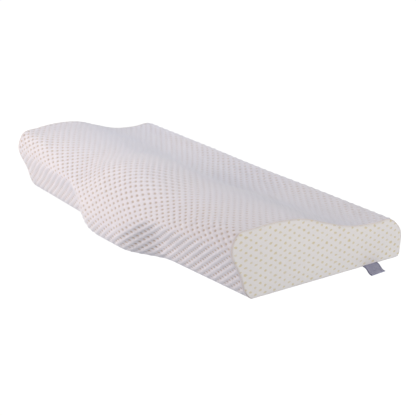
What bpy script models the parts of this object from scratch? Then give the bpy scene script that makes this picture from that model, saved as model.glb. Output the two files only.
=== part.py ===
"""Contour neck pillow in a knitted cover.

One filled body, a sewn-on panel at each end and a bare label tab in the bottom seam of one panel.
Metres, +Z up. +X runs along the length, -Y is the high neck side, and the origin is the middle of the flat
underside.
"""
import bpy
import numpy as np

# Overall: the front foot is the bottom edge of the neck side, and depths are measured back from it
LENGTH_AT_FOOT = 0.5640
END_SPREAD = 0.069           # how much further out each end lies, for each metre of depth
MIDDLE_DEPTH = 0.1055        # depth of the origin
GAP = 0.0003                 # clearance between neighbouring pieces

# The wings slant forward from both ends: this is how far they would come at the middle without the lobe
WING_SLANT = 0.0132

# Relief of the top: a hollow on each side of the lobe, and a cradle for the head behind it
HOLLOW_DEPTH = 0.0140
HOLLOW_FROM_MIDDLE = 0.112
HOLLOW_INNER = 0.087         # how far its slope runs towards the middle
HOLLOW_OUTER = 0.160         # how far its slope runs towards the end
CRADLE_DEPTH = 0.0125
CRADLE_HALF_LENGTH = 0.275

# Ends: a slightly crowned face, a rounded edge, and a panel of the same outline over it
END_CROWN = 0.0035
BODY_ROUND = 0.0016
PANEL_THICKNESS = 0.0020
PANEL_INSET = 0.0014         # how far the panel's rim stays inside the body's outline
PANEL_ROUND = 0.0010
END_CENTRE = (0.115, 0.035)  # depth and height that the end faces' mesh rings shrink towards
END_RINGS = (0.82, 0.58, 0.30)

# Label tab, sewn into the bottom seam at the +X end
TAB_THICKNESS = 0.0010
TAB_DEPTH = 0.2065           # depth of its middle
TAB_WIDTH = 0.026
TAB_REACH = 0.031
TAB_TUCK = 0.0015            # how far its root goes in under the panel
TAB_SKEW = 0.0125            # how far its free edge is pulled towards the front
TAB_POINTS = 7               # mesh points across it
TAB_ROWS = 6                 # mesh rows from its root to its free edge

# The outline in section, from the front over the top to the back. It has depths and heights in metres at the
# ends and at the middle of the length, and the half widths at which the neck lobe of the middle starts to fall
# back and has gone. slant, hollow and cradle are the shares that the point takes of the wing's slant, the
# hollow's depth and the cradle's depth. steps is the number of mesh steps to the next point.
SECTION_COLUMNS = (
    "end_depth", "end_height", "mid_depth", "mid_height", "lobe_flat", "lobe_foot",
    "slant", "hollow", "cradle", "steps",
)
SECTION = {
    "front_sole":  (0.0035, 0.0000, -0.0350, 0.0000, 0.030, 0.114, 1.00, 0.00, 0.00, 1),
    "front_foot":  (-0.0005, 0.0030, -0.0390, 0.0030, 0.030, 0.114, 1.00, 0.00, 0.00, 3),
    "front_wall":  (-0.0155, 0.0380, -0.0515, 0.0315, 0.040, 0.114, 1.00, 0.00, 0.00, 3),
    "front_reach": (-0.0285, 0.0800, -0.0455, 0.0590, 0.039, 0.117, 1.00, 0.60, 0.00, 3),
    "shoulder":    (-0.0190, 0.0970, -0.0395, 0.0740, 0.037, 0.117, 0.95, 1.30, 0.00, 4),
    "neck_crown":  (0.0095, 0.1005, -0.0180, 0.0975, 0.028, 0.119, 0.70, 0.55, 0.00, 4),
    "crown":       (0.0600, 0.1000, 0.0400, 0.1100, 0.003, 0.115, 0.25, 0.25, 0.00, 4),
    "brow":        (0.0920, 0.0945, 0.0860, 0.1015, 0.000, 0.120, 0.05, 0.25, 0.20, 3),
    "slope":       (0.1250, 0.0820, 0.1240, 0.0815, 0.028, 0.118, 0.00, 0.00, 0.60, 4),
    "valley":      (0.1660, 0.0680, 0.1640, 0.0650, 0.028, 0.118, 0.00, 0.00, 1.00, 4),
    "rear_rest":   (0.2100, 0.0620, 0.2100, 0.0595, 0.028, 0.118, 0.00, 0.00, 0.55, 3),
    "rear_crown":  (0.2430, 0.0605, 0.2430, 0.0595, 0.028, 0.118, 0.00, 0.00, 0.05, 4),
    "rear_reach":  (0.2615, 0.0405, 0.2615, 0.0400, 0.028, 0.118, 0.00, 0.00, 0.00, 2),
    "rear_wall":   (0.2620, 0.0150, 0.2620, 0.0150, 0.028, 0.118, 0.00, 0.00, 0.00, 2),
    "rear_foot":   (0.2595, 0.0025, 0.2595, 0.0025, 0.028, 0.118, 0.00, 0.00, 0.00, 1),
    "rear_sole":   (0.2560, 0.0000, 0.2560, 0.0000, 0.028, 0.118, 0.00, 0.00, 0.00, 6),
}
STATIONS = 55

HALF = LENGTH_AT_FOOT / 2.0
BODY_HALF = HALF - PANEL_THICKNESS - GAP


def column(name):
    """One named column of the section table as an array."""
    place = SECTION_COLUMNS.index(name)
    return np.array([row[place] for row in SECTION.values()])


def smooth(value):
    """Smooth step from 0 to 1 as value goes from 0 to 1."""
    held = np.clip(value, 0.0, 1.0)
    return held * held * (3.0 - 2.0 * held)


def lobe(along, flat, foot):
    """Share of the middle section at a distance along: 1 within flat of the middle, 0 beyond foot."""
    return smooth((foot - np.abs(along)) / (foot - flat))


def slant(along):
    """How far the wings' slant brings the front forward. It gives way to the lobe as the front foot does."""
    forward = WING_SLANT * np.clip(1.0 - np.abs(along) / HALF, 0.0, 1.0)
    front_foot = list(SECTION).index("front_foot")
    return forward * (1.0 - lobe(along, column("lobe_flat")[front_foot], column("lobe_foot")[front_foot]))


def hollow(along):
    """Depth of the two hollows beside the lobe: a smooth dip, short towards the middle and long outwards."""
    from_centre = np.abs(along) - HOLLOW_FROM_MIDDLE
    slope_run = np.where(from_centre < 0.0, HOLLOW_INNER, HOLLOW_OUTER)
    return HOLLOW_DEPTH * smooth(1.0 - np.abs(from_centre) / slope_run)


def cradle(along):
    """Depth of the head's cradle, deepest at the middle and gone near the ends."""
    return CRADLE_DEPTH * smooth(1.0 - np.abs(along) / CRADLE_HALF_LENGTH)


def section_knots(along):
    """The section's knots at each distance along, as an array of (station, knot, depth and height)."""
    along = np.asarray(along, dtype=float)[:, None]
    share = lobe(along, column("lobe_flat"), column("lobe_foot"))
    depth = column("end_depth") * (1.0 - share) + column("mid_depth") * share - column("slant") * slant(along)
    height = column("end_height") * (1.0 - share) + column("mid_height") * share
    height = height - column("hollow") * hollow(along) - column("cradle") * cradle(along)
    return np.stack([depth, height], -1)


def section(along):
    """The section's outline at each station: a smooth curve through the knots and a straight underside.

    Each stretch is a cubic whose end slopes come from the knots on either side, weighted by their distance.
    The first and last slopes are level, so that the underside meets the curve flat.
    """
    knots = section_knots(along)
    run = np.linalg.norm(np.diff(section_knots([HALF])[0], axis=0), axis=1)[:, None]
    step = np.diff(knots, axis=1) / run
    slope = np.zeros_like(knots)
    slope[:, 1:-1] = (step[:, :-1] * run[1:] + step[:, 1:] * run[:-1]) / (run[1:] + run[:-1])
    slope[:, [0, -1], 0] = -1.0
    counts = column("steps").astype(int)
    pieces = []
    for knot, count in enumerate(counts[:-1]):
        t = (np.arange(count) / count)[None, :, None]
        start, end = knots[:, knot, None], knots[:, knot + 1, None]
        leave, arrive = slope[:, knot, None] * run[knot], slope[:, knot + 1, None] * run[knot]
        curve = (2 * t**3 - 3 * t**2 + 1) * start + (3 * t**2 - 2 * t**3) * end
        curve += (t**3 - 2 * t**2 + t) * leave + (t**3 - t**2) * arrive
        pieces.append(curve)
    t = (np.arange(counts[-1]) / counts[-1])[None, :, None]
    pieces.append((1 - t) * knots[:, -1, None] + t * knots[:, 0, None])
    return np.concatenate(pieces, axis=1)


def inset(outline, amount):
    """The outline moved inwards by an amount, square to the line through each point's two neighbours."""
    run = np.roll(outline, -1, axis=0) - np.roll(outline, 1, axis=0)
    run /= np.linalg.norm(run, axis=1, keepdims=True)
    return outline + amount * np.stack([run[:, 1], -run[:, 0]], -1)


def place(outline, along):
    """Outline points put at a distance along, with the ends spread towards the back."""
    depth, height = outline[..., 0], outline[..., 1]
    x = along * (1.0 + END_SPREAD * depth / HALF)
    return np.stack([x, depth - MIDDLE_DEPTH, height], -1)


def end_face(outline, along, side):
    """Rings of a crowned end face, from its edge to its centre point, which comes last as a single point.

    Each ring is the outline shrunk towards the centre. It stands out by the crown times one minus the square
    of its share of the full size.
    """
    centre = np.array(END_CENTRE)
    rings = []
    for share in END_RINGS:
        crown = END_CROWN * (1.0 - share**2)
        rings.append(place(centre + share * (outline - centre), side * (along + crown)))
    pole = place(centre[None], side * (along + END_CROWN))
    return rings, pole


def closed_mesh(name, rings, first_pole, last_pole, material):
    """A closed object from rings of equal length, each end gathered into a pole. Faces point outwards."""
    points = np.concatenate([first_pole, *rings, last_pole])
    size = len(rings[0])
    ring = 1 + size * np.arange(len(rings))[:, None] + np.arange(size)
    after = np.roll(ring, -1, axis=1)
    quads = np.stack([ring[:-1], ring[1:], after[1:], after[:-1]], -1).reshape(-1, 4)
    last = len(points) - 1
    faces = quads.tolist()
    faces += [(0, a, b) for a, b in zip(ring[0].tolist(), after[0].tolist())]
    faces += [(a, last, b) for a, b in zip(ring[-1].tolist(), after[-1].tolist())]
    mesh = bpy.data.meshes.new(name)
    mesh.from_pydata(points.tolist(), [], faces)
    mesh.validate()
    mesh.shade_smooth()
    mesh.materials.append(material)
    built = bpy.data.objects.new(name, mesh)
    bpy.context.scene.collection.objects.link(built)
    return built


def plain_material(name, colour, roughness):
    """A Principled material of one colour, given as red, green and blue in linear light."""
    made = bpy.data.materials.new(name)
    made.use_nodes = True
    shader = made.node_tree.nodes["Principled BSDF"]
    shader.inputs["Base Color"].default_value = (*colour, 1.0)
    shader.inputs["Roughness"].default_value = roughness
    shader.inputs["Metallic"].default_value = 0.0
    return made


def build_body(material):
    """The filled body: the section carried along the length, with rounded edges and crowned end faces."""
    along = np.linspace(-(BODY_HALF - BODY_ROUND), BODY_HALF - BODY_ROUND, STATIONS)
    outlines = section(along)
    rings = [place(outline, at) for outline, at in zip(outlines, along)]
    outline = outlines[-1]
    half_round = place(inset(outline, BODY_ROUND * 0.3), BODY_HALF - BODY_ROUND * 0.3)
    face_edge = inset(outline, BODY_ROUND)
    edge = [half_round, place(face_edge, BODY_HALF)]
    face, pole = end_face(face_edge, BODY_HALF, 1.0)
    far_side = np.array([-1.0, 1.0, 1.0])
    near_rings = edge + face
    far_rings = [ring * far_side for ring in reversed(near_rings)]
    return closed_mesh("pillow_body", far_rings + rings + near_rings, pole * far_side, pole, material)


def build_end_panel(name, side, material):
    """A sewn-on end panel: a thin crowned sheet with the section's outline and a rounded rim."""
    outline = section([BODY_HALF])[0]
    back, front = BODY_HALF + GAP, BODY_HALF + GAP + PANEL_THICKNESS
    inner = inset(outline, PANEL_INSET + PANEL_ROUND * 0.5)
    rim = inset(outline, PANEL_INSET)
    outer = inset(outline, PANEL_INSET + PANEL_ROUND)
    back_face, back_pole = end_face(inner, back, side)
    front_face, front_pole = end_face(outer, front, side)
    rings = list(reversed(back_face))
    rings.append(place(inner, side * back))
    rings.append(place(rim, side * (back + PANEL_THICKNESS * 0.4)))
    rings.append(place(outer, side * front))
    rings += front_face
    if side < 0.0:
        return closed_mesh(name, rings[::-1], front_pole, back_pole, material)
    return closed_mesh(name, rings, back_pole, front_pole, material)


def build_tab(material):
    """The bare label tab: a short strip that lies flat, its root under the panel's bottom edge."""
    start = BODY_HALF + GAP + END_SPREAD * TAB_DEPTH + PANEL_THICKNESS - TAB_TUCK
    across = np.linspace(-0.5, 0.5, TAB_POINTS) * TAB_WIDTH
    rings = []
    for share in np.linspace(0.0, 1.0, TAB_ROWS):
        x = start + share * TAB_REACH
        middle = TAB_DEPTH - MIDDLE_DEPTH - TAB_SKEW * smooth(share)
        under = np.stack([np.full(TAB_POINTS, x), middle + across[::-1], np.zeros(TAB_POINTS)], -1)
        over = np.stack([np.full(TAB_POINTS, x), middle + across, np.full(TAB_POINTS, TAB_THICKNESS)], -1)
        rings.append(np.concatenate([over, under]))
    first = rings[0].mean(axis=0, keepdims=True)
    last = rings[-1].mean(axis=0, keepdims=True)
    return closed_mesh("label_tab", rings, first, last, material)


def main():
    """Clears the scene's objects and builds the pillow."""
    for thing in list(bpy.data.objects):
        bpy.data.objects.remove(thing, do_unlink=True)
    cover = plain_material("cover_knit", (0.72, 0.68, 0.70), 0.85)
    panel = plain_material("end_panel_knit", (0.66, 0.60, 0.50), 0.85)
    ribbon = plain_material("tab_ribbon", (0.20, 0.21, 0.27), 0.6)
    build_body(cover)
    build_end_panel("end_panel_right", 1.0, panel)
    build_end_panel("end_panel_left", -1.0, panel)
    build_tab(ribbon)


main()
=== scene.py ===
"""Contour neck pillow in a puffed diamond knit: its looks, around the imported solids.

The cover, the end panels, the seams and the tab are surfaces worked out with numpy from the sizes below.
Metres, +Z up. +X runs along the length, -Y is the high neck side, and the origin is on the underside.
"""

import math

import bpy
import numpy as np
from mathutils import Matrix, Vector


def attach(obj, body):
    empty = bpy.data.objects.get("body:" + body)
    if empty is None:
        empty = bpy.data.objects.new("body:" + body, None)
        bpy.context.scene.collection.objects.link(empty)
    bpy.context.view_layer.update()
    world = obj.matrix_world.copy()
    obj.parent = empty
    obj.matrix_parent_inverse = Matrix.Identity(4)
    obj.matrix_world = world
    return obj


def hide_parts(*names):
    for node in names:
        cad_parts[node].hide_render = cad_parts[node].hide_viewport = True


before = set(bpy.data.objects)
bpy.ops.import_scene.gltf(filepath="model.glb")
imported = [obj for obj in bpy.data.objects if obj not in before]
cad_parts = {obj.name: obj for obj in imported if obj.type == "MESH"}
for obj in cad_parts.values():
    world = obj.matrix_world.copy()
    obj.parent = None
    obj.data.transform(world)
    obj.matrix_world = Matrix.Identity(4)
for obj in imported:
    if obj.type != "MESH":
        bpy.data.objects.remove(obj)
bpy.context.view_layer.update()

# Overall sizes, the same as the solids have
LENGTH_AT_FOOT = 0.5640
END_SPREAD = 0.069           # how much further out each end lies, for each metre of depth
MIDDLE_DEPTH = 0.1055        # depth of the origin, measured back from the front foot
GAP = 0.0003
WING_SLANT = 0.0132
HOLLOW_DEPTH = 0.0140
HOLLOW_FROM_MIDDLE = 0.112
HOLLOW_INNER = 0.087
HOLLOW_OUTER = 0.160
CRADLE_DEPTH = 0.0125
CRADLE_HALF_LENGTH = 0.275
END_CROWN = 0.0035
END_CENTRE = (0.115, 0.035)  # depth and height that the end faces' mesh rings shrink towards
END_RINGS = (0.85, 0.62, 0.36, 0.12)
PANEL_THICKNESS = 0.0020

# The outline in section, from the front over the top to the back: depths and heights at the ends and at the
# middle of the length, the half widths where the neck lobe starts to fall back and where it has gone, and the
# shares that the point takes of the wing's slant, the hollow's depth and the cradle's depth. The depths,
# heights and half widths were fitted to the photo's outline and shading, and rounded
SECTION_COLUMNS = (
    "end_depth", "end_height", "mid_depth", "mid_height", "lobe_flat", "lobe_foot",
    "slant", "hollow", "cradle",
)
SECTION = {
    "front_sole":  (0.0035, 0.0000, -0.0350, 0.0000, 0.030, 0.114, 1.00, 0.00, 0.00),
    "front_foot":  (-0.0005, 0.0030, -0.0390, 0.0030, 0.030, 0.114, 1.00, 0.00, 0.00),
    "front_wall":  (-0.0155, 0.0380, -0.0515, 0.0315, 0.040, 0.114, 1.00, 0.00, 0.00),
    "front_reach": (-0.0285, 0.0800, -0.0455, 0.0590, 0.039, 0.117, 1.00, 0.60, 0.00),
    "shoulder":    (-0.0190, 0.0970, -0.0395, 0.0740, 0.037, 0.117, 0.95, 1.30, 0.00),
    "neck_crown":  (0.0095, 0.1005, -0.0180, 0.0975, 0.028, 0.119, 0.70, 0.55, 0.00),
    "crown":       (0.0600, 0.1000, 0.0400, 0.1100, 0.003, 0.115, 0.25, 0.25, 0.00),
    "brow":        (0.0920, 0.0945, 0.0860, 0.1015, 0.000, 0.120, 0.05, 0.25, 0.20),
    "slope":       (0.1250, 0.0820, 0.1240, 0.0815, 0.028, 0.118, 0.00, 0.00, 0.60),
    "valley":      (0.1660, 0.0680, 0.1640, 0.0650, 0.028, 0.118, 0.00, 0.00, 1.00),
    "rear_rest":   (0.2100, 0.0620, 0.2100, 0.0595, 0.028, 0.118, 0.00, 0.00, 0.55),
    "rear_crown":  (0.2430, 0.0605, 0.2430, 0.0595, 0.028, 0.118, 0.00, 0.00, 0.05),
    "rear_reach":  (0.2615, 0.0405, 0.2615, 0.0400, 0.028, 0.118, 0.00, 0.00, 0.00),
    "rear_wall":   (0.2620, 0.0150, 0.2620, 0.0150, 0.028, 0.118, 0.00, 0.00, 0.00),
    "rear_foot":   (0.2595, 0.0025, 0.2595, 0.0025, 0.028, 0.118, 0.00, 0.00, 0.00),
    "rear_sole":   (0.2560, 0.0000, 0.2560, 0.0000, 0.028, 0.118, 0.00, 0.00, 0.00),
}
KNOTS = list(SECTION)
FRONT_FOOT, REAR_FOOT = KNOTS.index("front_foot"), KNOTS.index("rear_foot")

# The knit: one diamond cell holds two dimples, one at its corners and one at its centre
CELL_LONG = 0.0141           # a cell's length along the pillow
CELL_ROUND = 0.0108          # a cell's width round the wrap
STEPS_LONG, STEPS_ROUND = 8, 6
RELIEF_DEPTH = 0.0030
DIMPLE_SHARE = 0.4           # share of the relief in the dimples. The troughs between the ribs have the rest
RELIEF_LIFT = 0.0012         # how far the puffs stand out past the solid, so that the mean surface meets it
SOLE_STEPS = 26
SOLE_RELIEF = 0.35           # share of the relief that the flattened underside keeps
SEAM_FADE = 0.004            # how far from a seam the relief starts to fade
LIFT_FADE = 0.012            # height over the floor under which the lift fades
BODY_EDGE = 0.0012           # radius at which the cover turns into the seam

# End panels: small dots in a diamond layout
DOT_DEEP = 0.0156            # a dot cell's size along the depth
DOT_HIGH = 0.0107
DOT_RELIEF = 0.0004
PANEL_EDGE = 0.0016
PANEL_INSET = 0.0009
PANEL_STEP = 0.0011
PANEL_DEEP, PANEL_HIGH = 0.27, 0.085   # rough size of a panel, which its mesh steps are counted from
PANEL_CORNERS = ("front_foot", "shoulder", "rear_crown", "rear_foot")

SEAM_RADIUS = 0.0009
SEAM_STITCH = 0.0032
SEAM_STEP = 0.0008

# Label tab: a ribbon folded over at its free edge
TAB_DEPTH, TAB_WIDTH, TAB_REACH = 0.2065, 0.026, 0.031
TAB_TUCK, TAB_SKEW = 0.0015, 0.0125
RIBBON = 0.00035
TAB_HEIGHT = 0.0010

# Camera, fitted to the outline of the photo: place in metres, and azimuth, elevation and roll in degrees
CAMERA_AT = (1.4253, -0.9374 - MIDDLE_DEPTH, 0.6929)
CAMERA_ANGLES = (52.777, 20.836, -0.405)
CAMERA_LENS = 106.48

# Studio: square lights round the pillow, with their place in metres, power in watts and colour
FLOOR_GLOW = 0.60
WORLD_LIGHT = 0.0
SEEN_WHITE = 1.05            # brightness of the floor and the surroundings to the camera
LIGHT_AIM, LIGHT_SIZE = (0.0, 0.0, 0.05), 0.5
LIGHTS = {
    "far_back":   (-0.50, 0.60, 0.60, 2.0, "#e2eeff"),
    "far_front":  (-0.30, -0.80, 0.25, 2.8, "#fff6ee"),
    "front_high": (-0.10, -0.60, 0.60, 1.9, "#f8f8ff"),
    "top":        (-0.25, 0.25, 0.80, 2.2, "#ffffff"),
    "near_end":   (1.40, 0.20, 0.60, 10.8, "#ffffff"),
    "front_warm": (0.30, -1.40, 0.50, 4.0, "#fff0e6"),
}

HALF = LENGTH_AT_FOOT / 2.0
BODY_HALF = HALF - PANEL_THICKNESS - GAP


def column(name):
    """One named column of the section table as an array."""
    place_of = SECTION_COLUMNS.index(name)
    return np.array([row[place_of] for row in SECTION.values()])


def smooth(value):
    """Smooth step from 0 to 1 as value goes from 0 to 1."""
    held = np.clip(value, 0.0, 1.0)
    return held * held * (3.0 - 2.0 * held)


def lobe(along, flat, foot):
    """Share of the middle section at a distance along: 1 within flat of the middle, 0 beyond foot."""
    return smooth((foot - np.abs(along)) / (foot - flat))


def section_knots(along):
    """The section's knots at each distance along, as an array of (station, knot, depth and height)."""
    along = np.asarray(along, dtype=float)[:, None]
    share = lobe(along, column("lobe_flat"), column("lobe_foot"))
    foot_share = lobe(along, column("lobe_flat")[FRONT_FOOT], column("lobe_foot")[FRONT_FOOT])
    slant = WING_SLANT * np.clip(1.0 - np.abs(along) / HALF, 0.0, 1.0) * (1.0 - foot_share)
    from_hollow = np.abs(along) - HOLLOW_FROM_MIDDLE
    slope_run = np.where(from_hollow < 0.0, HOLLOW_INNER, HOLLOW_OUTER)
    hollow = HOLLOW_DEPTH * smooth(1.0 - np.abs(from_hollow) / slope_run)
    cradle = CRADLE_DEPTH * smooth(1.0 - np.abs(along) / CRADLE_HALF_LENGTH)
    depth = column("end_depth") * (1.0 - share) + column("mid_depth") * share - column("slant") * slant
    height = column("end_height") * (1.0 - share) + column("mid_height") * share
    height = height - column("hollow") * hollow - column("cradle") * cradle
    return np.stack([depth, height], -1)


def section(along, at):
    """Depth and height of the outline at each station, for places at round it, counted in knots.

    Each stretch is a cubic whose end slopes come from the knots on either side, weighted by their distance.
    at has a row for each station. The first and last slopes are level.
    """
    knots = section_knots(along)
    run = np.linalg.norm(np.diff(section_knots([HALF])[0], axis=0), axis=1)[:, None]
    step = np.diff(knots, axis=1) / run
    slope = np.zeros_like(knots)
    slope[:, 1:-1] = (step[:, :-1] * run[1:] + step[:, 1:] * run[:-1]) / (run[1:] + run[:-1])
    slope[:, [0, -1], 0] = -1.0
    knot = np.minimum(at.astype(int), len(SECTION) - 2)
    t = (at - knot)[..., None]
    station = np.arange(len(knots))[:, None]
    start, end = knots[station, knot], knots[station, knot + 1]
    leave, arrive = slope[station, knot] * run[knot], slope[station, knot + 1] * run[knot]
    curve = (2 * t**3 - 3 * t**2 + 1) * start + (3 * t**2 - 2 * t**3) * end
    return curve + (t**3 - 2 * t**2 + t) * leave + (t**3 - t**2) * arrive


def even_places(along, first, last, count):
    """Places round each station's outline that split its length from knot first to last evenly."""
    fine = np.linspace(first, last, 40 * (last - first) + 1)
    outline = section(along, np.tile(fine, (len(along), 1)))
    walked = np.cumsum(np.linalg.norm(np.diff(outline, axis=1), axis=2), axis=1)
    walked = np.concatenate([np.zeros((len(along), 1)), walked], axis=1)
    shares = np.linspace(0.0, 1.0, count)
    return np.array([np.interp(shares * row[-1], row, fine) for row in walked])


def wrap_length():
    """Length round the pillow at its end, from the front foot over the top to the back foot."""
    fine = np.linspace(FRONT_FOOT, REAR_FOOT, 600)[None]
    return np.linalg.norm(np.diff(section([HALF], fine)[0], axis=0), axis=1).sum()


CELLS_ROUND = round(wrap_length() / CELL_ROUND)
CELLS_LONG = 2.0 * BODY_HALF / CELL_LONG


def closed_outline(along):
    """The whole closed outline at each station: the wrap in even steps, then the underside, back to front.

    Returns the points and the cloth's place round the wrap in cells, with one more column than points, for
    the seamless last stretch.
    """
    wrap = section(along, even_places(along, FRONT_FOOT, REAR_FOOT, CELLS_ROUND * STEPS_ROUND + 1))
    last = len(SECTION) - 1
    turn = np.tile([REAR_FOOT + 0.5, last], (len(along), 1))
    turn_back = np.tile([0.0, 0.5], (len(along), 1))
    behind, ahead = section(along, turn), section(along, turn_back)
    share = (np.arange(1, SOLE_STEPS) / SOLE_STEPS)[None, :, None]
    sole = behind[:, -1:] * (1.0 - share) + ahead[:, :1] * share
    points = np.concatenate([wrap, behind, sole, ahead], axis=1)
    closed = np.concatenate([points, points[:, :1]], axis=1)
    steps = np.linalg.norm(np.diff(closed, axis=1), axis=2).mean(axis=0)
    steps[: wrap.shape[1] - 1] = CELL_ROUND / STEPS_ROUND
    round_place = np.concatenate([[0.0], np.cumsum(steps)]) / CELL_ROUND
    return points, round_place


def place(outline, along):
    """Outline points put at a distance along, with the ends spread towards the back."""
    depth, height = outline[..., 0], outline[..., 1]
    x = along * (1.0 + END_SPREAD * depth / HALF)
    return np.stack([x, depth - MIDDLE_DEPTH, height], -1)


def inset(outline, amount):
    """A closed outline moved inwards, square to the line through each point's two neighbours."""
    run = np.roll(outline, -1, axis=-2) - np.roll(outline, 1, axis=-2)
    run = run / np.linalg.norm(run, axis=-1, keepdims=True)
    return outline + amount * np.stack([run[..., 1], -run[..., 0]], -1)


def knit_relief(long_place, round_place):
    """Height of the puffed knit under its highest points, in metres, for places in cells.

    Two families of ribs cross. A cosine across each gives c1 and c2, 1 in the troughs and -1 on the ribs. The
    dimples, where both troughs meet, are (1 + c1)(1 + c2) / 4, and a share of c1 + c2 rounds the puffs.
    """
    rising = np.cos(2.0 * np.pi * (long_place - round_place))
    falling = np.cos(2.0 * np.pi * (long_place + round_place))
    dimple = (1.0 + rising) * (1.0 + falling) / 4.0
    trough = (2.0 + rising + falling) / 4.0
    return -RELIEF_DEPTH * (DIMPLE_SHARE * dimple + (1.0 - DIMPLE_SHARE) * trough)


def linear(code, alpha=1.0):
    """An sRGB hex colour as the linear red, green, blue and alpha that the shaders take."""
    parts = [int(code[i : i + 2], 16) / 255.0 for i in (1, 3, 5)]
    turned = [c / 12.92 if c <= 0.04045 else ((c + 0.055) / 1.055) ** 2.4 for c in parts]
    return (*turned, alpha)


def add(tree, kind, inputs=None, **settings):
    """Adds a node, sets its own settings, and links or sets its inputs, given by name or number."""
    made = tree.nodes.new(kind)
    for name, value in settings.items():
        setattr(made, name, value)
    for name, value in (inputs or {}).items():
        if isinstance(value, bpy.types.NodeSocket):
            tree.links.new(value, made.inputs[name])
        else:
            made.inputs[name].default_value = value
    return made


def new_material(name):
    """An empty node material with its output, and its tree."""
    made = bpy.data.materials.new(name)
    made.use_nodes = True
    made.node_tree.nodes.clear()
    return made, made.node_tree, add(made.node_tree, "ShaderNodeOutputMaterial")


def lattice_nodes(tree, cloth):
    """Nodes for the two families of cosines over the cloth's cells, and the dimples where they meet."""
    apart = add(tree, "ShaderNodeSeparateXYZ", {0: cloth})
    waves = []
    for operation in ("SUBTRACT", "ADD"):
        phase = add(tree, "ShaderNodeMath", {0: apart.outputs[0], 1: apart.outputs[1]}, operation=operation)
        turned = add(tree, "ShaderNodeMath", {0: phase.outputs[0], 1: 2.0 * math.pi}, operation="MULTIPLY")
        wave = add(tree, "ShaderNodeMath", {0: turned.outputs[0]}, operation="COSINE")
        halved = add(tree, "ShaderNodeMath", {0: wave.outputs[0], 1: 0.5, 2: 0.5}, operation="MULTIPLY_ADD")
        waves.append(halved)
    rising, falling = waves
    dimple = add(tree, "ShaderNodeMath", {0: rising.outputs[0], 1: falling.outputs[0]}, operation="MULTIPLY")
    return dimple.outputs[0]


def stitch_height(tree, cloth, cell_size, wale, course):
    """Nodes for knit stitches: V shapes, wale wide and course high in metres, over the cloth's cells."""
    real = add(tree, "ShaderNodeVectorMath", {0: cloth, 1: (*cell_size, 1.0)}, operation="MULTIPLY")
    apart = add(tree, "ShaderNodeSeparateXYZ", {0: real.outputs[0]})
    wales = add(tree, "ShaderNodeMath", {0: apart.outputs[0], 1: 1.0 / wale}, operation="MULTIPLY")
    leg = add(tree, "ShaderNodeMath", {0: wales.outputs[0], 1: 0.5}, operation="PINGPONG")
    rows = add(tree, "ShaderNodeMath", {0: apart.outputs[1], 1: 1.0 / course}, operation="MULTIPLY")
    slanted = add(
        tree, "ShaderNodeMath", {0: leg.outputs[0], 1: 1.2, 2: rows.outputs[0]}, operation="MULTIPLY_ADD",
    )
    turned = add(tree, "ShaderNodeMath", {0: slanted.outputs[0], 1: 2.0 * math.pi}, operation="MULTIPLY")
    loops = add(tree, "ShaderNodeMath", {0: turned.outputs[0]}, operation="SINE")
    side = add(tree, "ShaderNodeMath", {0: leg.outputs[0], 1: math.pi}, operation="MULTIPLY")
    round_leg = add(tree, "ShaderNodeMath", {0: side.outputs[0]}, operation="SINE")
    both = add(tree, "ShaderNodeMath", {0: loops.outputs[0], 1: round_leg.outputs[0]}, operation="MULTIPLY")
    return both.outputs[0]


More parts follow.
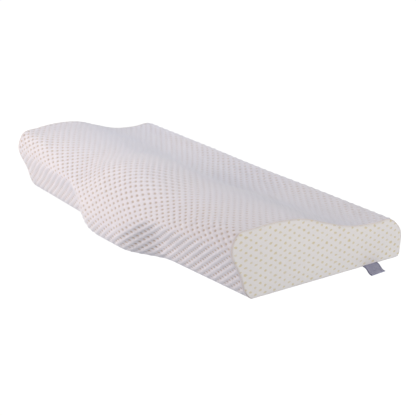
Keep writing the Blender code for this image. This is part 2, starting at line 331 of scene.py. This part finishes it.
def cover_material():
    """Air-layer jacquard of white viscose and polyester yarn on a beige base yarn.

    Gives the eye pale, faintly lilac puffs, with the beige-brown base showing in the dimples.
    """
    made, tree, output = new_material("air_layer_jacquard_knit")
    cloth = add(tree, "ShaderNodeUVMap", uv_map="cloth").outputs[0]
    dimple = lattice_nodes(tree, cloth)
    place_of = add(tree, "ShaderNodeTexCoord").outputs["Object"]
    # Puffs of slightly different fullness, about a cell apart
    uneven = add(tree, "ShaderNodeTexNoise", {"Vector": cloth, "Scale": 0.9, "Detail": 2.0})
    fuller = add(tree, "ShaderNodeMath", {0: uneven.outputs[0], 1: 0.25, 2: -0.125}, operation="MULTIPLY_ADD")
    shown = add(tree, "ShaderNodeMath", {0: dimple, 1: fuller.outputs[0]}, operation="ADD")
    # More of the base shows over the front, from the foot to the shoulder, than on the top
    wrap_place = add(tree, "ShaderNodeSeparateXYZ", {0: cloth}).outputs[1]
    pulled = add(
        tree, "ShaderNodeMapRange", {0: wrap_place, 1: 9.0, 2: 14.0, 3: 0.66, 4: 0.34},
        interpolation_type="SMOOTHSTEP",
    )
    base_shows = add(
        tree, "ShaderNodeMapRange", {0: shown.outputs[0], 1: 0.34, 2: 0.95, 3: 0.0, 4: pulled.outputs[0]},
        interpolation_type="SMOOTHSTEP",
    )
    # Slow drift between the warm and the cool white of the yarn, over about 8 cm
    drift = add(tree, "ShaderNodeTexNoise", {"Vector": place_of, "Scale": 12.0, "Detail": 2.0})
    white = add(
        tree, "ShaderNodeMix", {"Factor": drift.outputs[0], 6: linear("#ebe6e8"), 7: linear("#e6e3ea")},
        data_type="RGBA",
    )
    # Painted shade: towards the troughs between the ribs and the dimples the colour is a little darker than on
    # the puffs, for the shade that falls in these recesses
    trough = add(tree, "ShaderNodeMapRange", {0: dimple, 1: 0.0, 2: 0.5, 3: 0.0, 4: 0.15})
    puffs = add(
        tree, "ShaderNodeMix", {"Factor": trough.outputs[0], 6: white.outputs[2], 7: linear("#cfc6c9")},
        data_type="RGBA",
    )
    colour = add(
        tree, "ShaderNodeMix", {"Factor": base_shows.outputs[0], 6: puffs.outputs[2], 7: linear("#b89f80")},
        data_type="RGBA",
    )
    # Stitches are really about 0.8 mm. They are drawn 1.4 mm wide, so that they show
    stitches = stitch_height(tree, cloth, (CELL_LONG, CELL_ROUND), 0.0014, 0.0011)
    fuzz = add(tree, "ShaderNodeTexNoise", {"Vector": place_of, "Scale": 1400.0, "Detail": 2.0})
    grain = add(tree, "ShaderNodeMath", {0: stitches, 1: 0.6, 2: fuzz.outputs[0]}, operation="MULTIPLY_ADD")
    bump = add(tree, "ShaderNodeBump", {"Height": grain.outputs[0], "Distance": 0.00012, "Strength": 0.6})
    shader = add(
        tree, "ShaderNodeBsdfPrincipled",
        {
            "Base Color": colour.outputs[2], "Roughness": 0.88, "IOR": 1.46, "Specular IOR Level": 0.25,
            "Sheen Weight": 0.25, "Sheen Roughness": 0.5, "Normal": bump.outputs[0],
        },
    )
    tree.links.new(shader.outputs[0], output.inputs[0])
    return made


def panel_material():
    """Smooth spacer knit in cream, with small dots where the yellow-beige back yarn is pulled through.

    Gives the eye a matt, even face with slightly sunken, irregular dots.
    """
    made, tree, output = new_material("dotted_spacer_knit")
    cloth = add(tree, "ShaderNodeUVMap", uv_map="cloth").outputs[0]
    # The dots lie unevenly: a noise pushes the cells' coordinates about by up to a tenth of a cell
    push = add(tree, "ShaderNodeTexNoise", {"Vector": cloth, "Scale": 2.3, "Detail": 1.0})
    middle = (0.5, 0.5, 0.5)
    centred = add(tree, "ShaderNodeVectorMath", {0: push.outputs[1], 1: middle}, operation="SUBTRACT")
    pushed = add(tree, "ShaderNodeVectorMath", {0: centred.outputs[0], "Scale": 0.28}, operation="SCALE")
    moved = add(tree, "ShaderNodeVectorMath", {0: cloth, 1: pushed.outputs[0]}, operation="ADD")
    dot = lattice_nodes(tree, moved.outputs[0])
    strength = add(tree, "ShaderNodeTexNoise", {"Vector": cloth, "Scale": 1.1, "Detail": 1.0})
    shown = add(
        tree, "ShaderNodeMapRange", {0: dot, 1: 0.40, 2: 0.88, 3: 0.0, 4: 0.75},
        interpolation_type="SMOOTHSTEP",
    )
    faded = add(
        tree, "ShaderNodeMapRange", {0: strength.outputs[0], 1: 0.3, 2: 0.6, 3: 0.60, 4: 1.0},
    )
    share = add(tree, "ShaderNodeMath", {0: shown.outputs[0], 1: faded.outputs[0]}, operation="MULTIPLY")
    place_of = add(tree, "ShaderNodeTexCoord").outputs["Object"]
    drift = add(tree, "ShaderNodeTexNoise", {"Vector": place_of, "Scale": 25.0, "Detail": 2.0})
    cream = add(
        tree, "ShaderNodeMix", {"Factor": drift.outputs[0], 6: linear("#ebe5df"), 7: linear("#e6e0de")},
        data_type="RGBA",
    )
    colour = add(
        tree, "ShaderNodeMix", {"Factor": share.outputs[0], 6: cream.outputs[2], 7: linear("#d2bf88")},
        data_type="RGBA",
    )
    stitches = stitch_height(tree, cloth, (DOT_DEEP, DOT_HIGH), 0.0012, 0.0010)
    fuzz = add(tree, "ShaderNodeTexNoise", {"Vector": place_of, "Scale": 1400.0, "Detail": 2.0})
    grain = add(tree, "ShaderNodeMath", {0: stitches, 1: 0.5, 2: fuzz.outputs[0]}, operation="MULTIPLY_ADD")
    bump = add(tree, "ShaderNodeBump", {"Height": grain.outputs[0], "Distance": 0.00010, "Strength": 0.5})
    shader = add(
        tree, "ShaderNodeBsdfPrincipled",
        {
            "Base Color": colour.outputs[2], "Roughness": 0.9, "IOR": 1.46, "Specular IOR Level": 0.25,
            "Sheen Weight": 0.2, "Sheen Roughness": 0.5, "Normal": bump.outputs[0],
        },
    )
    tree.links.new(shader.outputs[0], output.inputs[0])
    return made


def seam_material():
    """Overlocked seam edge in spun polyester thread: pale, slightly pinkish cream, with fine wound ridges."""
    made, tree, output = new_material("spun_polyester_thread")
    cloth = add(tree, "ShaderNodeUVMap", uv_map="cloth").outputs[0]
    wound = add(
        tree, "ShaderNodeTexWave", {"Vector": cloth, "Scale": 1.5, "Distortion": 0.6}, bands_direction="X",
    )
    colour = add(
        tree, "ShaderNodeMix", {"Factor": wound.outputs[1], 6: linear("#dccfc8"), 7: linear("#efe6e1")},
        data_type="RGBA",
    )
    bump = add(tree, "ShaderNodeBump", {"Height": wound.outputs[1], "Distance": 0.0002, "Strength": 0.6})
    shader = add(
        tree, "ShaderNodeBsdfPrincipled",
        {
            "Base Color": colour.outputs[2], "Roughness": 0.75, "IOR": 1.5, "Sheen Weight": 0.15,
            "Normal": bump.outputs[0],
        },
    )
    tree.links.new(shader.outputs[0], output.inputs[0])
    return made


def ribbon_material():
    """Woven polyester satin ribbon in grey lavender: a soft gleam, fine weft lines and darker selvedges."""
    made, tree, output = new_material("polyester_satin_ribbon")
    cloth = add(tree, "ShaderNodeUVMap", uv_map="cloth").outputs[0]
    apart = add(tree, "ShaderNodeSeparateXYZ", {0: cloth})
    # The second coordinate runs across the ribbon from 0 to 1
    off_centre = add(tree, "ShaderNodeMath", {0: apart.outputs[1], 1: 0.5}, operation="SUBTRACT")
    from_middle = add(tree, "ShaderNodeMath", {0: off_centre.outputs[0]}, operation="ABSOLUTE")
    selvedge = add(
        tree, "ShaderNodeMapRange", {0: from_middle.outputs[0], 1: 0.40, 2: 0.47, 3: 0.0, 4: 0.7},
        interpolation_type="SMOOTHSTEP",
    )
    flecks = add(tree, "ShaderNodeTexNoise", {"Vector": cloth, "Scale": 6.0, "Detail": 3.0})
    ground = add(
        tree, "ShaderNodeMix", {"Factor": flecks.outputs[0], 6: linear("#8f90b0"), 7: linear("#abacc4")},
        data_type="RGBA",
    )
    colour = add(
        tree, "ShaderNodeMix", {"Factor": selvedge.outputs[0], 6: ground.outputs[2], 7: linear("#5c5d88")},
        data_type="RGBA",
    )
    # Weft lines are really 0.3 mm apart. They are drawn at 0.8 mm, so that they show
    weft = add(tree, "ShaderNodeTexWave", {"Vector": cloth, "Scale": 12.0}, bands_direction="X")
    bump = add(tree, "ShaderNodeBump", {"Height": weft.outputs[1], "Distance": 0.0001, "Strength": 0.5})
    shader = add(
        tree, "ShaderNodeBsdfPrincipled",
        {
            "Base Color": colour.outputs[2], "Roughness": 0.45, "IOR": 1.55, "Sheen Weight": 0.1,
            "Normal": bump.outputs[0],
        },
    )
    tree.links.new(shader.outputs[0], output.inputs[0])
    return made


def mesh_object(name, points, faces, cloth, material):
    """A smooth mesh object from points and faces, with the face corners' places on the cloth as its UV map."""
    mesh = bpy.data.meshes.new(name)
    mesh.from_pydata(points.tolist(), [], faces)
    mesh.uv_layers.new(name="cloth").uv.foreach_set("vector", cloth.astype(np.float32).ravel())
    mesh.shade_smooth()
    mesh.materials.append(material)
    made = bpy.data.objects.new(name, mesh)
    bpy.context.scene.collection.objects.link(made)
    return made


def tube_faces(rings, size):
    """Quads between closed rings of size points each, as an array of vertex numbers, and of grid places.

    A grid place is (ring, column), where a column may be one past the last, so that a pattern can run on.
    """
    ring, spot = np.meshgrid(np.arange(rings - 1), np.arange(size), indexing="ij")
    corners = [(ring, spot), (ring + 1, spot), (ring + 1, spot + 1), (ring, spot + 1)]
    quads = np.stack([r * size + s % size for r, s in corners], -1).reshape(-1, 4)
    places = np.stack([np.stack([r, s], -1) for r, s in corners], 2).reshape(-1, 2)
    return quads, places


def build_cover(material):
    """The filled body in its cover: the section carried along the length, with the knit's relief on it.

    The base surface is moved along its own normals by the relief, which fades out at the seams. Its lift
    fades out towards the floor, so that nothing goes below it. At each end the cover turns in by a quarter
    circle, then rings shrink to the middle of the end face, which the end panel hides.
    """
    stations = int(round(CELLS_LONG * STEPS_LONG))
    reach = BODY_HALF - BODY_EDGE
    along = np.linspace(-reach, reach, stations)
    outline, round_place = closed_outline(along)
    base = place(outline, along[:, None])
    down_length = np.gradient(base, axis=0)
    round_wrap = np.roll(base, -1, axis=1) - np.roll(base, 1, axis=1)
    normal = np.cross(down_length, round_wrap)
    normal /= np.linalg.norm(normal, axis=2, keepdims=True)
    long_place = along[:, None] / CELL_LONG
    size = outline.shape[1]
    relief = knit_relief(long_place, round_place[None, :size])
    seam_fade = smooth((reach - np.abs(along)) / SEAM_FADE)[:, None]
    wrapped = np.arange(size) <= CELLS_ROUND * STEPS_ROUND
    lift = RELIEF_LIFT * smooth(base[..., 2] / LIFT_FADE)
    relief = seam_fade * (relief * np.where(wrapped, 1.0, SOLE_RELIEF) + lift)
    surface = base + normal * relief[..., None]

    turn = np.linspace(0.0, 0.5 * np.pi, 5)[1:]
    end_outline = outline[-1]
    rings, ends_along = [], []
    for angle in turn:
        rings.append(inset(end_outline, BODY_EDGE * (1.0 - np.cos(angle))))
        ends_along.append(reach + BODY_EDGE * np.sin(angle))
    face_edge = rings[-1]
    centre = np.array(END_CENTRE)
    for share in END_RINGS:
        rings.append(centre + share * (face_edge - centre))
        ends_along.append(BODY_HALF + END_CROWN * (1.0 - share**2))
    near = np.stack([place(ring, at) for ring, at in zip(rings, ends_along)])
    far = (near * np.array([-1.0, 1.0, 1.0]))[::-1]
    grid = np.concatenate([far, surface, near])
    grid_along = np.concatenate([-np.array(ends_along)[::-1], along, ends_along])

    pole = place(centre[None], BODY_HALF + END_CROWN)
    points = np.concatenate([grid.reshape(-1, 3), pole * np.array([-1.0, 1.0, 1.0]), pole])
    quads, spots = tube_faces(len(grid), size)
    cloth = np.stack([grid_along[spots[:, 0]] / CELL_LONG, round_place[spots[:, 1]]], -1)
    first, last = np.arange(size), np.arange(size) + (len(grid) - 1) * size
    far_pole, near_pole = len(points) - 2, len(points) - 1
    faces = quads.tolist()
    faces += [(far_pole, a, b) for a, b in zip(first, np.roll(first, -1))]
    faces += [(a, near_pole, b) for a, b in zip(last, np.roll(last, -1))]
    cap_cloth = np.tile(cloth[:1], (6 * size, 1))
    return mesh_object("knit_cover", points, faces, np.concatenate([cloth, cap_cloth]), material)


def grid_sheet(name, front, back, cloth, material):
    """A closed thin sheet from two grids of the same size, front and back, joined round their rims."""
    high, wide = front.shape[:2]
    row, spot = np.meshgrid(np.arange(high - 1), np.arange(wide - 1), indexing="ij")
    corner = row * wide + spot
    quads = np.stack([corner, corner + 1, corner + wide + 1, corner + wide], -1).reshape(-1, 4)
    number = np.arange(high * wide).reshape(high, wide)
    rim = np.concatenate([number[0, :-1], number[:-1, -1], number[-1, :0:-1], number[:0:-1, 0]])
    after, offset = np.roll(rim, -1), high * wide
    sides = np.stack([after, rim, rim + offset, after + offset], -1)
    faces = np.concatenate([quads, quads[:, ::-1] + offset, sides])
    points = np.concatenate([front.reshape(-1, 3), back.reshape(-1, 3)])
    spread = np.tile(cloth.reshape(-1, 2), (2, 1))
    return mesh_object(name, points, faces.tolist(), spread[faces.ravel()], material)


def end_outline(amount, count_per_side):
    """The end's outline as four sides of a patch, moved inwards: bottom, front, top and back, with sizes."""
    corners = [KNOTS.index(name) for name in PANEL_CORNERS]
    low, high = count_per_side
    walls = []
    for first, last, count in zip(corners[:-1], corners[1:], (high, low, high)):
        walls.append(section([BODY_HALF], even_places([BODY_HALF], first, last, count))[0])
    front, top, back = walls
    last = len(SECTION) - 1
    heel = section([BODY_HALF], np.array([[0.5, 0.0]]))[0]
    toe = section([BODY_HALF], np.array([[last, REAR_FOOT + 0.5]]))[0]
    share = (np.arange(1, low - 5) / (low - 5))[:, None]
    sole = np.concatenate([heel, heel[-1] * (1.0 - share) + toe[0] * share, toe])
    ring = np.concatenate([front, top[1:], back[1:], sole[::-1]])
    ring = inset(ring, amount)
    a, b, c = high, high + low - 1, high + low - 1 + high - 1
    bottom = np.concatenate([ring[:1], ring[c:][::-1], ring[c - 1 : c]])
    return ring, bottom, ring[:a], ring[a - 1 : b], ring[b - 1 : c][::-1]


def patch(bottom, front, top, back):
    """A grid of points between four curves: the blend of the opposite curves less that of the corners.

    Rows go from the bottom up, and columns from the front to the back.
    """
    u = np.linspace(0.0, 1.0, len(bottom))[None, :, None]
    v = np.linspace(0.0, 1.0, len(front))[:, None, None]
    rows = (1 - v) * bottom[None] + v * top[None]
    columns = (1 - u) * front[:, None] + u * back[:, None]
    corners = (1 - v) * ((1 - u) * bottom[0] + u * bottom[-1]) + v * ((1 - u) * top[0] + u * top[-1])
    return rows + columns - corners


def build_end_panel(name, side, material):
    """A sewn-on end panel: a patch between the outline's four sides, crowned, with dots sunk into it.

    Its face stands out by the crown times one minus the square of a point's share of the way from the end's
    centre to the outline. Near the rim it turns down by a quarter circle.
    """
    wide, high = int(PANEL_DEEP / PANEL_STEP), int(PANEL_HIGH / PANEL_STEP)
    ring, bottom, front, top, back = end_outline(PANEL_INSET, (wide, high))
    flat = patch(bottom, front, top, back)
    centre = np.array(END_CENTRE)
    angle = np.arctan2(*(ring - centre).T[::-1])
    order = np.argsort(angle)
    reach_of = np.linalg.norm(ring - centre, axis=1)
    away = flat - centre
    bearing = np.arctan2(away[..., 1], away[..., 0])
    reach = np.interp(bearing, angle[order], reach_of[order], period=2.0 * np.pi)
    share = np.clip(np.linalg.norm(away, axis=2) / reach, 0.0, 1.0)
    crown = END_CROWN * (1.0 - share**2)
    rim_gap = np.linalg.norm(flat[:, :, None] - ring[None, None, ::2], axis=3).min(axis=2)
    turned = 1.0 - np.clip(rim_gap / PANEL_EDGE, 0.0, 1.0)
    roll = PANEL_EDGE * (1.0 - np.sqrt(1.0 - turned**2))
    cloth = np.stack([flat[..., 0] / DOT_DEEP, flat[..., 1] / DOT_HIGH], -1)
    rising = np.cos(2.0 * np.pi * (cloth[..., 0] - cloth[..., 1]))
    falling = np.cos(2.0 * np.pi * (cloth[..., 0] + cloth[..., 1]))
    dot = ((1.0 + rising) * (1.0 + falling) / 4.0) ** 4
    start = BODY_HALF + GAP
    face = start + PANEL_THICKNESS + crown - roll - DOT_RELIEF * dot * (1.0 - turned)
    outer = place(flat, side * face)
    inner = place(flat, side * (start + crown))
    if side < 0.0:
        outer, inner, cloth = outer[:, ::-1], inner[:, ::-1], cloth[:, ::-1]
    made = grid_sheet(name, outer, inner, cloth, material)
    ahead = np.roll(ring, -1, axis=0)
    area = abs((ring[:, 0] * ahead[:, 1] - ring[:, 1] * ahead[:, 0]).sum()) / 2.0
    return made, np.ptp(ring, axis=0), area


def build_seam(name, side, material):
    """The sewn edge between cover and panel: a thin tube round the outline, pinched at each stitch."""
    counts = (int(PANEL_DEEP / SEAM_STEP), int(PANEL_HIGH / SEAM_STEP))
    ring = end_outline(SEAM_RADIUS, counts)[0]
    closed = np.concatenate([ring, ring[:1]])
    steps = np.linalg.norm(np.diff(closed, axis=0), axis=1)
    ring = ring[steps > 1e-5]
    closed = np.concatenate([ring, ring[:1]])
    walked = np.concatenate([[0.0], np.cumsum(np.linalg.norm(np.diff(closed, axis=0), axis=1))])
    count = int(round(walked[-1] / SEAM_STITCH)) * 5
    spots = np.linspace(0.0, walked[-1], count, endpoint=False)
    path = np.stack([np.interp(spots, walked, closed[:, i]) for i in (0, 1)], -1)
    run = np.roll(path, -1, axis=0) - np.roll(path, 1, axis=0)
    run /= np.linalg.norm(run, axis=1, keepdims=True)
    outward = np.stack([-run[:, 1], run[:, 0]], -1)
    pinch = 0.82 + 0.18 * np.abs(np.sin(np.pi * np.arange(count) / 5.0))
    turn = np.arange(8) * (2.0 * np.pi / 8)
    radius = SEAM_RADIUS * pinch[:, None]
    across = path[:, None] + outward[:, None] * (radius * np.cos(turn))[..., None]
    along = BODY_HALF + 0.0007 + radius * np.sin(turn)
    tube = place(across, side * along)
    points = tube.reshape(-1, 3)
    quads, places = tube_faces(count + 1, 8)
    quads = quads % len(points)
    if side > 0.0:
        quads, places = quads[:, ::-1], places.reshape(-1, 4, 2)[:, ::-1].reshape(-1, 2)
    cloth = np.stack([places[:, 0] / 5.0, places[:, 1] / 8.0], -1)
    return mesh_object(name, points, quads.tolist(), cloth, material)


def build_tab(material):
    """The bare tab: a ribbon that runs out flat, turns over at its free edge and comes back on top of itself.

    Along it, the first parameter walks the lower layer, a half circle and the upper layer. Across it the
    second runs from edge to edge, and the free edge is pulled towards the front.
    """
    root = BODY_HALF + GAP + END_SPREAD * TAB_DEPTH + PANEL_THICKNESS - TAB_TUCK
    bend = (TAB_HEIGHT - RIBBON) / 2.0
    layer = np.linspace(0.0, TAB_REACH - bend - RIBBON / 2.0, 24)
    angle = np.linspace(-0.5 * np.pi, 0.5 * np.pi, 9)[1:-1]
    reach = np.concatenate([layer, layer[-1] + bend * np.cos(angle), layer[::-1]])
    height = np.concatenate([np.full(24, -bend), bend * np.sin(angle), np.full(24, bend)])
    facing = np.stack([np.gradient(height), -np.gradient(reach)], -1)
    facing /= np.linalg.norm(facing, axis=1, keepdims=True)
    across = np.linspace(-0.5, 0.5, 22)
    skew = TAB_SKEW * smooth(reach / TAB_REACH)
    sheets = []
    for offset in (0.5 * RIBBON, -0.5 * RIBBON):
        x = root + reach + offset * facing[:, 0]
        z = TAB_HEIGHT / 2.0 + height + offset * facing[:, 1]
        y = TAB_DEPTH - MIDDLE_DEPTH - skew[:, None] + TAB_WIDTH * across[None, :]
        sheets.append(np.stack(np.broadcast_arrays(x[:, None], y, z[:, None]), -1))
    walked = np.concatenate([[0.0], np.cumsum(np.hypot(np.diff(reach), np.diff(height)))])
    cloth = np.stack(np.broadcast_arrays(walked[:, None] / TAB_WIDTH, across[None, :] + 0.5), -1)
    return grid_sheet("folded_tab", *sheets, cloth, material), walked[-1]


def area_light(name, place_of, aim, size, power, colour):
    """A square area light that looks at a point."""
    light = bpy.data.lights.new(name, "AREA")
    light.size, light.energy, light.color = size, power, linear(colour)[:3]
    made = bpy.data.objects.new(name, light)
    made.location = place_of
    made.rotation_euler = (Vector(aim) - Vector(place_of)).to_track_quat("-Z", "Y").to_euler()
    bpy.context.scene.collection.objects.link(made)


def build_studio():
    """A white floor that glows like a light table, and square lights from both sides, the front and above.

    The pillow gets less light from the floor and the surroundings than the camera sees, as in a photo whose
    background is cut out white.
    """
    mesh = bpy.data.meshes.new("floor")
    span = 15.0
    corners = [(-span, -span, 0), (span, -span, 0), (span, span, 0), (-span, span, 0)]
    mesh.from_pydata(corners, [], [(0, 1, 2, 3)])
    floor = bpy.data.objects.new("floor", mesh)
    bpy.context.scene.collection.objects.link(floor)
    made, tree, output = new_material("white_light_table")
    seen = add(tree, "ShaderNodeLightPath").outputs["Is Camera Ray"]
    strength = add(tree, "ShaderNodeMapRange", {0: seen, 3: FLOOR_GLOW, 4: SEEN_WHITE})
    white = add(
        tree, "ShaderNodeMix", {"Factor": seen, 6: linear("#eff5ff"), 7: linear("#ffffff")}, data_type="RGBA",
    )
    glow = add(tree, "ShaderNodeEmission", {"Color": white.outputs[2], "Strength": strength.outputs[0]})
    tree.links.new(glow.outputs[0], output.inputs[0])
    mesh.materials.append(made)
    world = bpy.data.worlds.new("studio")
    world.use_nodes = True
    around = world.node_tree
    seen = add(around, "ShaderNodeLightPath").outputs["Is Camera Ray"]
    strength = add(around, "ShaderNodeMapRange", {0: seen, 3: WORLD_LIGHT, 4: SEEN_WHITE})
    around.nodes["Background"].inputs["Color"].default_value = linear("#ffffff")
    around.links.new(strength.outputs[0], around.nodes["Background"].inputs["Strength"])
    bpy.context.scene.world = world
    for name, (x, y, z, power, colour) in LIGHTS.items():
        area_light(name, (x, y, z), LIGHT_AIM, LIGHT_SIZE, power, colour)
    bpy.context.scene.view_settings.view_transform = "Standard"


def build_camera():
    """The camera at the photo's viewing angle, with its long lens."""
    data = bpy.data.cameras.new("camera")
    data.sensor_width = 36.0
    data.lens = CAMERA_LENS
    data.clip_end = 60.0
    camera = bpy.data.objects.new("camera", data)
    camera.location = CAMERA_AT
    azimuth, elevation, roll = (math.radians(angle) for angle in CAMERA_ANGLES)
    level = math.cos(elevation)
    looking = Vector((-math.sin(azimuth) * level, math.cos(azimuth) * level, -math.sin(elevation)))
    upright = looking.to_track_quat("-Z", "Y").to_matrix()
    camera.rotation_euler = (upright @ Matrix.Rotation(roll, 3, "Z")).to_euler()
    bpy.context.scene.collection.objects.link(camera)
    bpy.context.scene.camera = camera


def dress():
    """Builds every piece and puts it on the frame."""
    build_camera()
    build_studio()
    cover = build_cover(cover_material())
    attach(cover, "root")
    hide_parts("pillow_body")

    panel_knit, thread = panel_material(), seam_material()
    for end, side in (("right", 1.0), ("left", -1.0)):
        panel, (deep, high), area = build_end_panel("panel_face_" + end, side, panel_knit)
        seam = build_seam("panel_seam_" + end, side, thread)
        for piece in (panel, seam):
            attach(piece, "root")
        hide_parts("end_panel_" + end)

    tab, cut = build_tab(ribbon_material())
    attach(tab, "root")
    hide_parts("label_tab")


dress()
bpy.context.view_layer.update()
